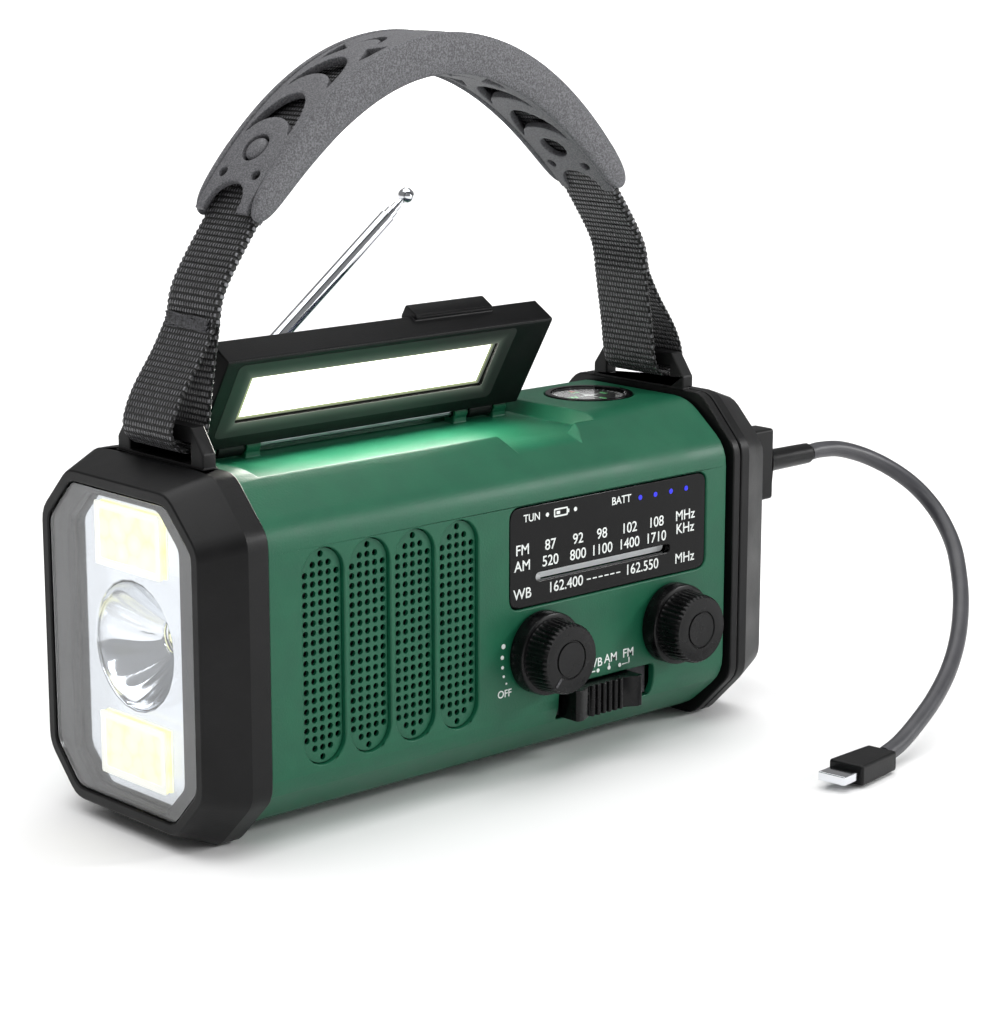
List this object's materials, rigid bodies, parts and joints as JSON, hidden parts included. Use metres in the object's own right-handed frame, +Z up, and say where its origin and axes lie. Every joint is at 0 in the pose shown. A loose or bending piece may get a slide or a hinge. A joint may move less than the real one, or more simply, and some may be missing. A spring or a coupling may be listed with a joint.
{
  "type": "emergency radio",
  "caption": "Portable crank-charged radio with lamp head, flip-up lamp and solar panel, folding telescopic antenna, compass, webbing carrying handle and charging cable.",
  "frame": {"origin": "on the surface the radio stands on, under the middle of the case", "axes": "+X along the case from the lamp head to the charging end, the dial faces -Y, +Z is up"},
  "size_m": [0.2616, 0.1441, 0.1875],
  "materials": {
    "green_shell": "satin moulded plastic with a light pebble texture",
    "black_plastic": "satin black moulded plastic",
    "gloss_black": "polished black plastic with white printed scales",
    "grey_rubber": "speckled grey moulded rubber",
    "pale_plastic": "pale moulded plastic",
    "clear_plastic": "clear moulded plastic",
    "lamp_yellow": "pale yellow lamp resin",
    "black_webbing": "woven black webbing",
    "circuit_board": "green lacquered circuit board",
    "grey_cable": "grey flexible cable jacket",
    "solar_cell": "dark blue solar cell under resin",
    "ferrite": "dark grey ceramic",
    "cell_wrap": "blue shrink-wrapped cell",
    "chrome": "bright plating",
    "steel": "plain steel"
  },
  "bodies": {
    "case": {"front_shell": "green_shell", "rear_shell": "green_shell", "lamp_head": "black_plastic", "right_collar": "black_plastic", "right_end_cap": "black_plastic", "lamp_lens": "clear_plastic", "lamp_reflector": "chrome", "cob_lamp_upper": "lamp_yellow", "cob_lamp_lower": "lamp_yellow", "torch_led": "lamp_yellow", "speaker_grille": "green_shell", "speaker": "black_plastic", "dial_window": "gloss_black", "volume_control": "steel", "tuning_capacitor": "pale_plastic", "band_switch": "steel", "compass_housing": "black_plastic", "compass_window": "clear_plastic", "panel_hinge_pin": "steel", "antenna_fork": "steel", "gear_plate": "steel", "generator": "steel", "case_screw_1": "steel", "case_screw_2": "steel", "case_screw_3": "steel", "case_screw_4": "steel", "battery_cell": "cell_wrap", "main_board": "circuit_board", "ferrite_rod": "ferrite", "usb_socket": "steel"},
    "panel": {"panel_frame": "black_plastic", "reading_lamp_lens": "lamp_yellow", "solar_panel": "solar_cell"},
    "volume": {"volume_knob": "black_plastic", "volume_shaft": "steel"},
    "tuning": {"tuning_knob": "black_plastic", "tuning_shaft": "steel"},
    "pointer": {"tuning_pointer": "pale_plastic"},
    "band": {"band_slider": "black_plastic"},
    "compass": {"compass_card": "black_plastic"},
    "antenna_1": {"antenna_section_1": "chrome"},
    "antenna_2": {"antenna_section_2": "chrome"},
    "antenna_3": {"antenna_section_3": "chrome"},
    "antenna_4": {"antenna_section_4": "chrome"},
    "crank": {"crank_arm": "black_plastic", "crank_shaft": "steel", "crank_gear": "pale_plastic"},
    "generator_rotor": {"generator_pinion": "pale_plastic"},
    "crank_fold": {"crank_handle": "steel"},
    "crank_knob": {"crank_grip": "black_plastic"},
    "torch_push": {"torch_button": "black_plastic"},
    "reading_push": {"reading_lamp_button": "black_plastic"},
    "alarm_push": {"alarm_button": "black_plastic"},
    "charge_plug": {"plug_shell": "chrome", "plug_body": "black_plastic", "charge_cable": "grey_cable", "connector_body": "black_plastic", "connector_tip": "chrome"},
    "handle": {"carry_strap": "black_webbing", "handle_grip": "grey_rubber"}
  },
  "joints": [
    {"name": "panel_hinge", "type": "hinge", "parent": "case", "child": "panel", "pos_m": [0, 0.0089, 0.0881], "axis": [1, 0, 0], "range_deg": [-35.5, 59.5]},
    {"name": "volume_turn", "type": "hinge", "parent": "case", "child": "volume", "pos_m": [0.0081, -0.04, 0.0337], "axis": [0, 1, 0], "range_deg": [0, 300]},
    {"name": "tuning_turn", "type": "hinge", "parent": "case", "child": "tuning", "pos_m": [0.0552, -0.04, 0.033], "axis": [0, 1, 0], "range_deg": [0, 270]},
    {"name": "pointer_slide", "type": "slide", "parent": "case", "child": "pointer", "axis": [1, 0, 0], "range_m": [0, 0.0446]},
    {"name": "band_slide", "type": "slide", "parent": "case", "child": "band", "axis": [1, 0, 0], "range_m": [0, 0.0074]},
    {"name": "compass_turn", "type": "hinge", "parent": "case", "child": "compass", "pos_m": [0.0607, 0.0013, 0.085], "axis": [0, 0, 1], "continuous": true},
    {"name": "antenna_fold", "type": "hinge", "parent": "case", "child": "antenna_1", "pos_m": [-0.066, 0.03, 0.0761], "axis": [0, -1, 0], "range_deg": [-37.6, 52.4]},
    {"name": "antenna_slide_2", "type": "slide", "parent": "antenna_1", "child": "antenna_2", "axis": [0.7923, 0, 0.6101], "range_m": [0, 0.082]},
    {"name": "antenna_slide_3", "type": "slide", "parent": "antenna_2", "child": "antenna_3", "axis": [0.7923, 0, 0.6101], "range_m": [0, 0.082]},
    {"name": "antenna_slide_4", "type": "slide", "parent": "antenna_3", "child": "antenna_4", "axis": [0.7923, 0, 0.6101], "range_m": [0, 0.082]},
    {"name": "crank_turn", "type": "hinge", "parent": "case", "child": "crank", "pos_m": [0.022, 0.04, 0.045], "axis": [0, 1, 0], "continuous": true},
    {"name": "rotor_turn", "type": "hinge", "parent": "case", "child": "generator_rotor", "pos_m": [0.047, 0.029, 0.045], "axis": [0, 1, 0], "continuous": true},
    {"name": "crank_handle_fold", "type": "hinge", "parent": "crank", "child": "crank_fold", "pos_m": [0.056, 0.0409, 0.045], "axis": [0, 0, 1], "range_deg": [-90, 0]},
    {"name": "crank_grip_turn", "type": "hinge", "parent": "crank_fold", "child": "crank_knob", "pos_m": [0.0415, 0.0409, 0.045], "axis": [1, 0, 0], "continuous": true},
    {"name": "torch_press", "type": "slide", "parent": "case", "child": "torch_push", "axis": [0, -1, 0], "range_m": [0, 0.0012], "stiffness_N_per_m": 400},
    {"name": "reading_press", "type": "slide", "parent": "case", "child": "reading_push", "axis": [0, -1, 0], "range_m": [0, 0.0012], "stiffness_N_per_m": 400},
    {"name": "alarm_press", "type": "slide", "parent": "case", "child": "alarm_push", "axis": [0, -1, 0], "range_m": [0, 0.0012], "stiffness_N_per_m": 400},
    {"name": "plug_pull", "type": "slide", "parent": "case", "child": "charge_plug", "axis": [1, 0, 0], "range_m": [0, 0.0135]},
    {"name": "handle_tilt", "type": "hinge", "parent": "case", "child": "handle", "pos_m": [0, 0, 0.09715], "axis": [1, 0, 0], "range_deg": [-7, 7]}
  ],
  "couplings": [
    {"joint": "pointer_slide", "follows": "tuning_turn", "m_per_rad": 0.0094},
    {"joint": "rotor_turn", "follows": "crank_turn", "ratio": -4}
  ]
}
